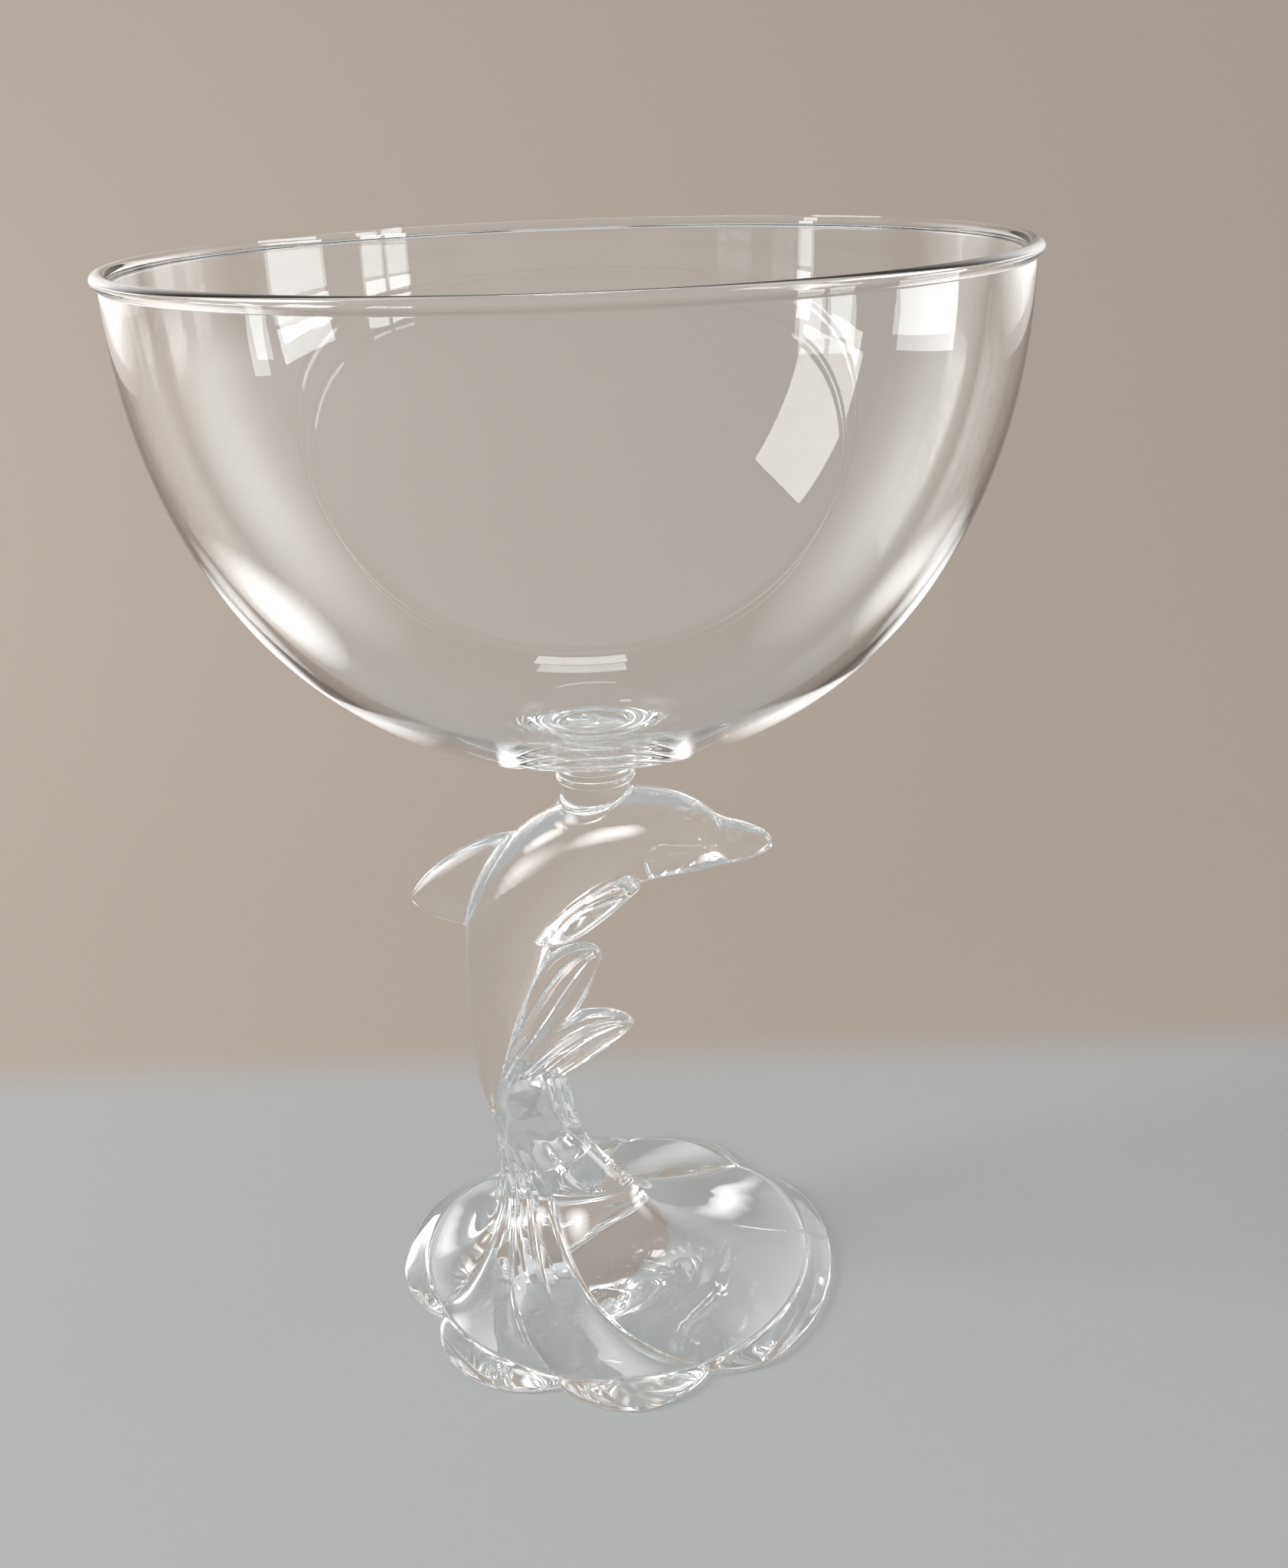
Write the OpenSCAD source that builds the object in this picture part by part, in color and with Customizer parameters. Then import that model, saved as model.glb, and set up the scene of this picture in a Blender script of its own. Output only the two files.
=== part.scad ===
// Champagne glass: a wide clear bowl on a leaping dolphin stem and a lobed wave foot.
// Millimetres, +Z up. The origin is on the bowl's axis, in the plane that the foot rests on.
// The dolphin lies along the XZ plane, with its beak towards +X.

/* [Bowl] */
// Diameter over the rounded lip
rim_d = 110; // [90:1:130]
// Height from the collar to the top of the lip
bowl_h = 67; // [55:0.5:85]
// Width of the bead that rounds off the lip, which swells outwards from the wall
lip_w = 2; // [1.7:0.1:2.6]
// Height of that bead
lip_h = 1.6; // [1.2:0.1:2.4]
// Wall thickness just under the lip
wall_t = 1.2; // [0.9:0.1:1.4]
// Thickness of the glass in the middle, from the collar to the floor of the bowl
base_t = 6.3; // [5.6:0.1:9]
// Diameter of the pad under the bowl
pad_d = 10.2; // [8:0.2:14]
// Height of the pad under the round of the bowl
pad_h = 4; // [2:0.2:5]
// Height of the pad's upright edge, under the cove
pad_edge = 0.5; // [0.2:0.1:1.2]
// Reach of the cove between the pad and the bowl
pad_cove = 4; // [2:0.2:6]

/* [Collar] */
// Diameter of the ring at the weld
collar_d = 10.8; // [8:0.1:14]
// Thickness of the ring at the weld
collar_h = 1.2; // [0.8:0.1:3]

/* [Stem] */
// Height from the foot's seat to the collar
stem_h = 65.2; // [50:0.2:80]
// Diameter of the neck under the collar
neck_d = 9.4; // [7:0.2:12]
// Width of the dolphin's body across its flanks
body_w = 13.4; // [8:0.2:16]
// Thickness of the dorsal fin and of the flukes at their roots
fin_t = 3.6; // [2:0.1:5]
// Distance of each flipper's middle inside the widest part of its flank
flipper_inset = 2.2; // [1.4:0.1:3]

/* [Column] */
// Distance of the column's seat behind the bowl's axis
column_x = 7.5; // [6:0.5:9]
// Length of the column at its seat, along the dolphin
column_l = 20; // [16:0.2:24]
// Width of the column at its seat, across the dolphin
column_w = 10.4; // [8:0.2:14]
// Depth of the flutes at the column's seat
flute_t = 0.6; // [0.2:0.1:1.2]
// Height over the seat at which the flutes run out
flute_h = 8; // [4:0.5:12]

/* [Foot] */
// Diameter over the lobes
foot_d = 65.2; // [54:0.2:84]
// Height of the foot up to the column's seat
foot_h = 15; // [10:0.5:22]
// Height of the upright outer edge
edge_h = 0.9; // [0.5:0.1:1.4]
// Height of the shoulder line
shoulder_h = 2.6; // [2.2:0.1:4]
// Distance of the shoulder line from the outer edge
shoulder_w = 3.8; // [2:0.1:5]
// Depth of the notches between the lobes
notch_t = 3.8; // [1:0.1:6]
// Depth of the valley that runs out through each notch, under the shoulder line
valley_t = 0.9; // [0.3:0.1:1.2]
// Depth of the creases between the petals
crease_t = 1; // [0.4:0.1:1.2]
// Width of the ring that the foot rests on, where the notches make it narrowest
rest_w = 5.8; // [3:0.2:10]
// Bevel round the edge that the foot rests on
edge_bevel = 0.3; // [0.1:0.1:0.6]
// Depth of the hollow under the foot
hollow_t = 0.9; // [0.4:0.1:1.4]

/* [Hidden] */
$fn = 96;
glass = [0.80, 0.90, 0.92, 0.45];

neck_z = foot_h + stem_h;
bowl_z = neck_z + collar_h;

// The bead of the lip is flush with the inside of the wall, and covers its top edge
inner_r = rim_d / 2 - lip_w;
outer_r = inner_r + wall_t;
lip_r = inner_r + lip_w / 2;
lip_z = bowl_z + bowl_h - lip_h / 2;
lip_start = acos(2 * wall_t / lip_w - 1);
wall_top = lip_z - lip_h / 2 * sin(lip_start);
// A bowl with a roundness of 1 is half an ellipse, and one with less is fuller
roundness = 0.94;
wall_steps = 32;
lip_steps = 5;
lip_turn = 15;
cove_turn = 15;

// Notches between the lobes, in degrees from the dolphin's beak: the front lobe is the widest
notches = [54, 96, 144, 216, 264, 306];
// Degrees over which a notch rounds out into its lobes, and a crease into its petals
notch_span = 24;
crease_span = 20;
// Share of the shoulder's distance from the edge that is lost at a notch
notch_pinch = 0.85;
// Where a crease that starts at a direction on the foot meets the column, which it sweeps round from behind
crease_sweep = [[0, 0], [54, 99], [96, 140], [144, 159], [180, 180]];
// Share of that sweep that is left half way out, which bows the creases
crease_bow = 0.65;
// How early a crease bends on its way in from the edge: less than 1 is earlier
crease_ease = 0.75;
// Short creases that start at the column and fade out on the petals
short_creases = [75, 285];
foot_sides = 120;
// The edge's slope up to the shoulder line: [share of the way in, share of the way up]
edge_slope = [[0, 0], [0.5, 0.58], [1, 1]];
// Power of the cove between the shoulder and the column, which is softer towards the beak
cove_power = 3.5;
cove_soft = 0.5;
cove_steps = 12;
// The hollow's ball is drawn a little past the resting plane
hollow_over = 1.1;
hollow_steps = 10;

// The figure is drawn for a stem of this height and a body of this width, and scaled to the sizes above
figure_h = 65.2;
figure_w = 12;
fs = stem_h / figure_h;
ws = body_w / figure_w;
// Sides of the rings that the figure is skinned over
body_sides = 32;
fin_sides = 20;
fluke_sides = 28;
neck_sides = 48;
bead_sides = 16;
// Ribs along each fluke, and the share of its thickness that they swell
fluke_ribs = 3;
rib_t = 0.22;
// Length of a flipper's beads, as a share of their depth
bead_l = 0.6;

// Sections of the dolphin's parts: [x, height over the seat, tilt, half depth, half width]
// The tilt turns a section's depth axis up from +X, so that the section faces along the run
body_sections = [
    [23.9, 56.5, 90, 0.5, 0.6],
    [22.8, 56.6, 90, 1.6, 1.5],
    [20.0, 56.6, 90, 2.7, 2.2],
    [16.7, 56.6, 91, 3.5, 3.0],
    [13.6, 57.2, 92, 5.0, 4.3],
    [10.0, 57.5, 93, 6.0, 5.1],
    [5.0, 57.0, 100, 6.8, 5.7],
    [-1.5, 54.8, 119, 7.2, 6.0],
    [-8.0, 50.2, 138, 7.3, 6.0],
    [-12.8, 43.0, 158, 6.6, 5.5],
    [-15.4, 33.5, 171, 5.0, 4.4],
    [-17.0, 25.0, 177, 3.4, 3.4],
    [-17.6, 18.0, 182, 2.2, 2.8],
    [-17.0, 11.0, 186, 1.4, 2.2]
];
dorsal_sections = [
    [-14.0, 49.0, 70, 8.4, 0.5],
    [-17.5, 48.8, 73, 7.5, 0.45],
    [-21.0, 48.0, 78, 5.9, 0.38],
    [-24.2, 46.9, 84, 3.9, 0.3],
    [-26.4, 46.1, 90, 2.0, 0.24],
    [-27.4, 45.8, 92, 0.6, 0.2]
];
upper_fluke_sections = [
    [-17.0, 13.5, -20, 1.4, 0.6],
    [-14.6, 19.5, -26, 2.4, 0.55],
    [-11.8, 24.6, -31, 3.5, 0.5],
    [-8.6, 29.8, -35, 4.3, 0.46],
    [-5.4, 34.6, -42, 4.0, 0.4],
    [-2.9, 37.4, -54, 2.7, 0.34],
    [-1.2, 38.4, -60, 1.5, 0.28],
    [-0.6, 38.6, -62, 0.7, 0.2]
];
lower_fluke_sections = [
    [-14.5, 14.6, -36, 2.0, 0.6],
    [-10.6, 18.9, -44, 3.2, 0.55],
    [-6.6, 22.6, -50, 3.9, 0.5],
    [-2.8, 25.4, -54, 3.7, 0.42],
    [0.5, 27.0, -58, 2.7, 0.35],
    [2.7, 27.5, -64, 1.5, 0.28],
    [3.8, 27.4, -68, 0.5, 0.2]
];
flipper_sections = [
    [5.6, 52.6, 118, 1.8, 1.3],
    [2.4, 50.2, 126, 2.4, 1.3],
    [-0.6, 47.6, 130, 2.5, 1.2],
    [-3.4, 45.0, 134, 2.3, 1.1],
    [-6.0, 42.9, 142, 1.8, 1.0],
    [-8.0, 41.8, 150, 1.0, 0.8]
];
// Sections of the neck under the collar: [depth, half length, half width] beyond the neck's own radius
neck_sections = [
    [0, 0, 0],
    [1.6, 0, 0],
    [3.2, 0.5, 0],
    [4.4, 1.4, 0.1],
    [5.4, 2.7, 0.3],
    [6.6, 4.2, 0.4],
    [9, 4.6, 0]
];
// Sections of the column over its seat: [height, share of its length, share of its width, lean]
// The lean moves a section from the seat, at 0, to under the dolphin's tail, at 1
tail_x = 12.2;
column_sections = [
    [0, 1, 1, 0],
    [2, 0.88, 0.95, 0.28],
    [4, 0.785, 0.9, 0.48],
    [6, 0.705, 0.86, 0.67],
    [9, 0.65, 0.8, 0.83],
    [14, 0.645, 0.665, 1],
    [17.5, 0.55, 0.48, 1],
    [20, 0.36, 0.28, 1]
];

// A smooth curve through rows of numbers, with the given number of steps from row to row
function between(a, b, c, d, t) =
    0.5 * (2 * b + (c - a) * t + (2 * a - 5 * b + 4 * c - d) * t * t + (3 * b - a - 3 * c + d) * t * t * t);
function smooth_rows(rows, steps) =
    let (last = len(rows) - 1)
    concat(
        [for (i = [0:last - 1], k = [0:steps - 1])
            between(rows[max(i - 1, 0)], rows[i], rows[i + 1], rows[min(i + 2, last)], k / steps)],
        [rows[last]]
    );

// How deep in a crease a direction is, from 0 to 1, for creases that spread over a span of degrees
function turn(a) = a - 360 * round(a / 360);
function crease(a, creases, span) =
    pow(max(0, 1 - min([for (n = creases) abs(turn(a - n))]) / span), 2);
function swept(a) = sign(turn(a)) * lookup(abs(turn(a)), crease_sweep);

// Place of the shoulder line, which comes close to the edge at a notch and dips there
function shoulder_inset(a) = shoulder_w * (1 - notch_pinch * crease(a, notches, notch_span));
function shoulder_z(a) = shoulder_h - valley_t * crease(a, notches, notch_span);

// Outline of the lobed foot, set in by a distance, and of the fluted column
function lobe_point(a, inset, drift = 0) =
    (foot_d / 2 - notch_t * crease(a, notches, notch_span) - inset) * [cos(a + drift), sin(a + drift)];
function column_point(a, l, w, flute) =
    let (
        groove = flute * max(crease(a, notches, crease_span), crease(a, short_creases, crease_span)),
        b = swept(a)
    )
    [(l / 2 - groove) * cos(b), (w / 2 - groove) * sin(b)];

function foot_angles() = [for (k = [0:foot_sides - 1]) 360 * k / foot_sides];

// A closed skin over rings that run along the piece, each ring turning left about that run
function middle(ring) = [for (k = [0:len(ring) - 1]) 1] * ring / len(ring);
module skin(rings) {
    n = len(rings);
    m = len(rings[0]);
    ends = [middle(rings[0]), middle(rings[n - 1])];
    points = concat([for (r = rings, p = r) p], ends);
    walls = [for (i = [0:n - 2], k = [0:m - 1], f = [0, 1])
        let (a = i * m + k, b = i * m + (k + 1) % m)
        f == 0 ? [a, a + m, b + m] : [a, b + m, b]];
    first_cap = [for (k = [0:m - 1]) [k, (k + 1) % m, n * m]];
    last_cap = [for (k = [0:m - 1]) [(n - 1) * m + (k + 1) % m, (n - 1) * m + k, n * m + 1]];
    polyhedron(points, concat(first_cap, walls, last_cap));
}

// A rounded limb of the figure through its sections; ridges are shallow ribs that run along it
function limb_ring(s, across, sides, ridges) = [for (k = [0:sides - 1])
    let (
        t = 360 * k / sides,
        rib = ridges == 0 ? 1 : 1 + rib_t * cos(180 * ridges * cos(t)),
        deep = s[3] * cos(t) * fs
    )
    [s[0] * fs + deep * cos(s[2]), across * s[4] * sin(t) * rib, foot_h + s[1] * fs + deep * sin(s[2])]];
module limb(sections, across, sides, steps, ridges = 0)
    skin([for (s = smooth_rows(sections, steps)) limb_ring(s, across, sides, ridges)]);

// Half of the bowl's section: up the outside from the pad, over the lip and down the inside
function round_profile(r, top_z, floor_z, from, steps) = [for (k = [0:steps])
    let (t = from + (90 - from) * k / steps)
    [r * pow(sin(t), roundness), top_z - (top_z - floor_z) * pow(cos(t), roundness)]];
function reversed(list) = [for (k = [len(list) - 1:-1:0]) list[k]];

module bowl() {
    cove_from = asin(pow((pad_d / 2 + pad_cove) / outer_r, 1 / roundness));
    outside = round_profile(outer_r, wall_top, bowl_z + pad_h, cove_from, wall_steps);
    inside = reversed(round_profile(inner_r, lip_z, bowl_z + base_t, 0, wall_steps));
    cove_rise = outside[0][1] - bowl_z - pad_edge;
    lip_angles = concat(
        [for (k = [lip_steps - 1:-1:1]) -lip_start * k / lip_steps],
        [for (t = [0:lip_turn:180 - lip_turn]) t]
    );
    color(glass)
    rotate_extrude()
    polygon(concat(
        [[0, bowl_z], [pad_d / 2, bowl_z]],
        [for (t = [0:cove_turn:90 - cove_turn])
            [pad_d / 2 + pad_cove * (1 - cos(t)), bowl_z + pad_edge + cove_rise * sin(t)]],
        outside,
        [for (t = lip_angles) [lip_r + lip_w / 2 * cos(t), lip_z + lip_h / 2 * sin(t)]],
        inside
    ));
}

module weld_collar() {
    color(glass)
    translate([0, 0, neck_z])
    rotate_extrude() {
        square([collar_d / 2 - collar_h / 2, collar_h]);
        translate([collar_d / 2 - collar_h / 2, collar_h / 2]) circle(d = collar_h);
    }
}

// The neck flares into the dolphin's back
module neck()
    skin([for (s = reversed(smooth_rows(neck_sections, 2)))
        [for (k = [0:neck_sides - 1])
            let (t = 360 * k / neck_sides)
            [(neck_d / 2 + s[1] * fs) * cos(t), (neck_d / 2 + s[2] * fs) * sin(t), neck_z - s[0] * fs]]]);

module flipper() {
    rows = smooth_rows(flipper_sections, 2);
    for (i = [0:len(rows) - 2])
        hull() {
            flipper_bead(rows[i]);
            flipper_bead(rows[i + 1]);
        }
}
module flipper_bead(s)
    translate([s[0] * fs, body_w / 2 - flipper_inset, foot_h + s[1] * fs])
    rotate([0, -s[2], 0])
    scale([s[3] * fs, s[4] * ws, bead_l * s[3] * fs])
    sphere(r = 1, $fn = bead_sides);

module column()
    skin([for (s = smooth_rows(column_sections, 2))
        [for (a = foot_angles())
            let (
                flute = flute_t * max(0, 1 - s[0] * fs / flute_h),
                p = column_point(a, column_l * s[1], column_w * s[2], flute)
            )
            [p[0] - column_x + (column_x - tail_x * fs) * s[3], p[1], foot_h + s[0] * fs]]]);

module dolphin_stem() {
    color(glass) {
        neck();
        limb(body_sections, ws, body_sides, 3);
        limb(dorsal_sections, fin_t, fin_sides, 2);
        limb(upper_fluke_sections, fin_t, fluke_sides, 2, fluke_ribs);
        limb(lower_fluke_sections, fin_t, fluke_sides, 2, fluke_ribs);
        flipper();
        mirror([0, 1, 0]) flipper();
        column();
    }
}

// Rings of the foot: up the outer edge, over the shoulder, then in along the cove to the column's seat
function edge_rings() = concat(
    [[for (a = foot_angles()) concat(lobe_point(a, edge_bevel), 0)]],
    [for (s = edge_slope)
        [for (a = foot_angles())
            concat(lobe_point(a, shoulder_inset(a) * s[0]), edge_h + (shoulder_z(a) - edge_h) * s[1])]]
);
function cove_rings() = [for (i = [1:cove_steps])
    let (t = 90 * i / cove_steps)
    [for (a = foot_angles())
        let (
            power = cove_power - cove_soft * cos(a),
            reach = pow(cos(t), power),
            rise = pow(sin(t), power),
            seat = column_point(a, column_l, column_w, flute_t) - [column_x, 0],
            drift = crease_bow * turn(swept(a) - a) * pow(1 - reach, crease_ease),
            p = seat + (lobe_point(a, shoulder_inset(a), drift) - seat) * reach,
            furrow = max(crease(a, notches, crease_span), rise * crease(a, short_creases, crease_span)),
            dip = crease_t * furrow * 4 * reach * (1 - reach)
        )
        [p[0], p[1], shoulder_z(a) + (foot_h - shoulder_z(a)) * rise - dip]]];

// The hollow is part of a large ball that reaches a little below the resting plane
module foot_hollow() {
    hollow_d = foot_d - 2 * notch_t - 2 * rest_w;
    bow_r = (pow(hollow_d / 2, 2) + pow(hollow_t, 2)) / (2 * hollow_t);
    reach = asin(hollow_d / 2 / bow_r) * hollow_over;
    rotate_extrude()
    polygon(concat(
        [[0, hollow_t - bow_r * (1 - cos(reach))]],
        [for (k = [hollow_steps:-1:0])
            let (t = reach * k / hollow_steps)
            [bow_r * sin(t), hollow_t - bow_r * (1 - cos(t))]]
    ));
}

module wave_foot() {
    color(glass)
    difference() {
        skin(concat(edge_rings(), cove_rings()));
        foot_hollow();
    }
}

bowl();
weld_collar();
dolphin_stem();
wave_foot();
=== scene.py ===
# %% [markdown]
# # A champagne glass with a dolphin stem
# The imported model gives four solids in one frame: bowl, weld collar, dolphin stem and wave foot. They have
# the right sizes and places, but clear glass shows every facet, so each solid gets a finer mesh here.
# Meshes are in metres in the model's own frame: +Z is up, and the dolphin's beak points along +X.
# The foot and the dolphin are drawn in millimetres, and MM turns those into metres.

# %% Load the frame
import math

import bmesh
import bpy
import numpy as np
from mathutils import Matrix, Vector


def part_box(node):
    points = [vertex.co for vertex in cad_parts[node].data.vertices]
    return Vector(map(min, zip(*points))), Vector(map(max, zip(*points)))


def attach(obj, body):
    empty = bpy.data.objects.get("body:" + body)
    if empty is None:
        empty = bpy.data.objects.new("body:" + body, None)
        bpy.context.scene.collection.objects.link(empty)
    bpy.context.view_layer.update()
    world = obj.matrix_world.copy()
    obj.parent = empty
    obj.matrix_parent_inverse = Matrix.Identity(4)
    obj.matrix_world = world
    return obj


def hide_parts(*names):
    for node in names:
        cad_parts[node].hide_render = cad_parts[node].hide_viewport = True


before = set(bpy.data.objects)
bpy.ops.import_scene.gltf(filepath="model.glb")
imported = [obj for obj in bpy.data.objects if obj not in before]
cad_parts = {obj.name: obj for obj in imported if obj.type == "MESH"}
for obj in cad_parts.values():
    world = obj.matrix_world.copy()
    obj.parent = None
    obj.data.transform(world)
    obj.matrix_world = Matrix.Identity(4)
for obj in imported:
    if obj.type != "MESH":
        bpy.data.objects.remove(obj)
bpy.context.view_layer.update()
MM = 0.001
scene = bpy.context.scene
scene.view_settings.view_transform = "Standard"
print("solids:", sorted(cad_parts))

# %% [markdown]
# ## The camera
# The photograph was taken from close by, a little above the rim, with a phone's wide lens.
# A camera can be placed by hand until the outlines agree. Here the rim and the foot were taken as two known
# circles, which gives the place, the three turns and the focal length together, so they are written down.

# %% Place the camera
PHOTO_H = 2048
FOCAL_PX = 2112
CENTRE_PX_Y = 1036
SENSOR_MM = 36.0
camera_place = Vector((41.54, -197.99, 162.87)) * MM
heading = math.radians(-10.02)
pitch = math.radians(22.87)
roll = math.radians(-2.0)

ahead = Vector((math.sin(heading) * math.cos(pitch), math.cos(heading) * math.cos(pitch), -math.sin(pitch)))
level = Vector((math.cos(heading), -math.sin(heading), 0))
upright = level.cross(ahead)
across = level * math.cos(roll) + upright * math.sin(roll)
above = upright * math.cos(roll) - level * math.sin(roll)

camera_data = bpy.data.cameras.new("photo_camera")
camera_data.sensor_width = SENSOR_MM
camera_data.lens = FOCAL_PX / PHOTO_H * SENSOR_MM
camera_data.shift_y = (CENTRE_PX_Y - PHOTO_H / 2) / PHOTO_H
camera_data.clip_start = 0.01
camera = bpy.data.objects.new("photo_camera", camera_data)
scene.collection.objects.link(camera)
turned = Matrix((across, above, -ahead)).transposed().to_4x4()
camera.matrix_world = Matrix.Translation(camera_place) @ turned
scene.camera = camera
print("lens in mm:", round(camera_data.lens, 2))

# %% [markdown]
# ## Floor, backdrop and light
# Clear glass has no colour of its own: it shows what stands around it, bent and turned over.
# So the studio is part of the finish. A sweep of paper, cool in front and warm behind, gives the glass two
# tones to bend. One soft lamp on the left lights the scene and throws the shadow.
# The other lights are there to be seen in the glass. Panes with hard edges show in the bowl as windows do.
# Glows that fade at their edges draw soft bands along the outlines, and sheens draw the white patches on the
# stem and the foot. Light linking keeps each of them to the pieces that it is meant for.

# %% Make the studio helpers
toward_camera = Vector((-math.sin(heading), -math.cos(heading), 0))
LIT_POINT = Vector((0, 0, 110 * MM))


def place_round(azimuth, elevation, distance):
    """A point round the glass. Azimuth 0 is the camera's side, and it grows towards the camera's right."""
    turn = math.radians(azimuth)
    lift = math.radians(elevation)
    flat = toward_camera * math.cos(turn) + level * math.sin(turn)
    return LIT_POINT + (flat * math.cos(lift) + Vector((0, 0, math.sin(lift)))) * distance


def softbox(name, azimuth, elevation, distance, width, height, radiance, colour):
    """A rectangular lamp that faces the bowl. Its power is worked out from how bright it should look."""
    lamp = bpy.data.lights.new(name, "AREA")
    lamp.shape = "RECTANGLE"
    lamp.size = width
    lamp.size_y = height
    lamp.energy = radiance * math.pi * width * height
    lamp.color = colour
    holder = bpy.data.objects.new(name, lamp)
    scene.collection.objects.link(holder)
    holder.location = place_round(azimuth, elevation, distance)
    holder.rotation_mode = "QUATERNION"
    holder.rotation_quaternion = (holder.location - LIT_POINT).to_track_quat("Z", "Y")
    holder.visible_camera = False
    return holder


def glass_only(*lamps):
    """Keeps lamps off the paper, so that they are only seen in the glass."""
    for lamp in lamps:
        lamp.visible_diffuse = False


upper_glass = bpy.data.collections.new("upper_glass")
lower_glass = bpy.data.collections.new("lower_glass")


def seen_in(pieces, *lights):
    """Lets lights show in some pieces alone, as flags and screens do in a studio."""
    for light in lights:
        light.light_linking.receiver_collection = pieces


def mesh_object(name, points, faces):
    """A new mesh object at the origin from arrays of points and faces."""
    mesh = bpy.data.meshes.new(name)
    mesh.from_pydata([tuple(p) for p in points], [], [tuple(int(i) for i in f) for f in faces])
    mesh.update()
    piece = bpy.data.objects.new(name, mesh)
    scene.collection.objects.link(piece)
    return piece


print("direction towards the camera:", [round(c, 3) for c in toward_camera])

# %% Hang the paper sweep
SWEEP_W = 5.0
SWEEP_FRONT = -2.4
SWEEP_BACK = 0.12
SWEEP_BEND = 0.85
SWEEP_TOP = 1.8
BEND_STEPS = 48
FLOOR_Z = -0.05 * MM

bend = [math.radians(90 * k / BEND_STEPS) for k in range(BEND_STEPS + 1)]
profile = [(SWEEP_FRONT, FLOOR_Z)]
profile += [(SWEEP_BACK + SWEEP_BEND * math.sin(t), FLOOR_Z + SWEEP_BEND * (1 - math.cos(t))) for t in bend]
profile += [(SWEEP_BACK + SWEEP_BEND, SWEEP_TOP)]
away = -toward_camera
sweep_points = [
    away * depth + level * side + Vector((0, 0, rise))
    for depth, rise in profile
    for side in (-SWEEP_W / 2, SWEEP_W / 2)
]
sweep_faces = [(2 * i, 2 * i + 1, 2 * i + 3, 2 * i + 2) for i in range(len(profile) - 1)]
sweep = mesh_object("paper_sweep", sweep_points, sweep_faces)
sweep.data.shade_smooth()
print("sweep faces:", len(sweep_faces))

# %% Tint the paper
COOL = (0.52, 0.53, 0.535)
WARM = (0.52, 0.45, 0.395)
TINT_START = 48 * MM
TINT_END = 66 * MM
PAPER_ROUGHNESS = 0.85
PAPER_SHINE = 0.2
GRAIN_SCALE = 900
GRAIN_T = 0.03 * MM

paper = bpy.data.materials.new("pale_paper")
paper.use_nodes = True
nodes = paper.node_tree.nodes
links = paper.node_tree.links
paper_shader = nodes["Principled BSDF"]
paper_shader.inputs["Roughness"].default_value = PAPER_ROUGHNESS
paper_shader.inputs["Specular IOR Level"].default_value = PAPER_SHINE
place = nodes.new("ShaderNodeTexCoord")
depth = nodes.new("ShaderNodeVectorMath")
depth.operation = "DOT_PRODUCT"
depth.inputs[1].default_value = away
links.new(place.outputs["Object"], depth.inputs[0])
behind = nodes.new("ShaderNodeMapRange")
behind.interpolation_type = "SMOOTHSTEP"
behind.inputs["From Min"].default_value = TINT_START
behind.inputs["From Max"].default_value = TINT_END
links.new(depth.outputs["Value"], behind.inputs["Value"])
tint = nodes.new("ShaderNodeMix")
tint.data_type = "RGBA"
# On a Mix node for colours, inputs 6 and 7 are the two colours and output 2 is the result
tint.inputs[6].default_value = (*COOL, 1)
tint.inputs[7].default_value = (*WARM, 1)
links.new(behind.outputs["Result"], tint.inputs["Factor"])
links.new(tint.outputs[2], paper_shader.inputs["Base Color"])
grain = nodes.new("ShaderNodeTexNoise")
grain.inputs["Scale"].default_value = GRAIN_SCALE
grain.inputs["Detail"].default_value = 3
links.new(place.outputs["Object"], grain.inputs["Vector"])
tooth = nodes.new("ShaderNodeBump")
tooth.inputs["Distance"].default_value = GRAIN_T
links.new(grain.outputs["Fac"], tooth.inputs["Height"])
links.new(tooth.outputs["Normal"], paper_shader.inputs["Normal"])
sweep.data.materials.append(paper)
print("paper tints:", COOL, WARM)

# %% Set the lamps
KEY_COLOUR = (1.0, 0.99, 0.97)
DAYLIGHT = (0.94, 0.98, 1.0)
key = softbox("key_sheet", -84, 24, 0.90, width=0.38, height=0.45, radiance=9.0, colour=KEY_COLOUR)
key.visible_glossy = False
top_lamp = softbox("top_lamp", 180, 50, 0.90, width=0.19, height=0.07, radiance=6.0, colour=DAYLIGHT)

# Each pane is a bright narrow light over a taller, weaker one
PANE_FAR = 0.60
PANES = [("side", 89, 0.21), ("front_a", 55, 0.07), ("front_b", 63, 0.07), ("left", -72, 0.05)]
PANE_ROWS = [("pane_top_", 7.4, 0.05, 12.0), ("pane_low_", -2.3, 0.14, 5.0)]
panes = [top_lamp]
for name, azimuth, width in PANES:
    for row, elevation, height, radiance in PANE_ROWS:
        panes.append(softbox(row + name, azimuth, elevation, PANE_FAR, width, height, radiance, DAYLIGHT))
glass_only(*panes)
seen_in(upper_glass, *panes)
print("lights seen in the bowl and the ring:", len(panes))


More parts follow.
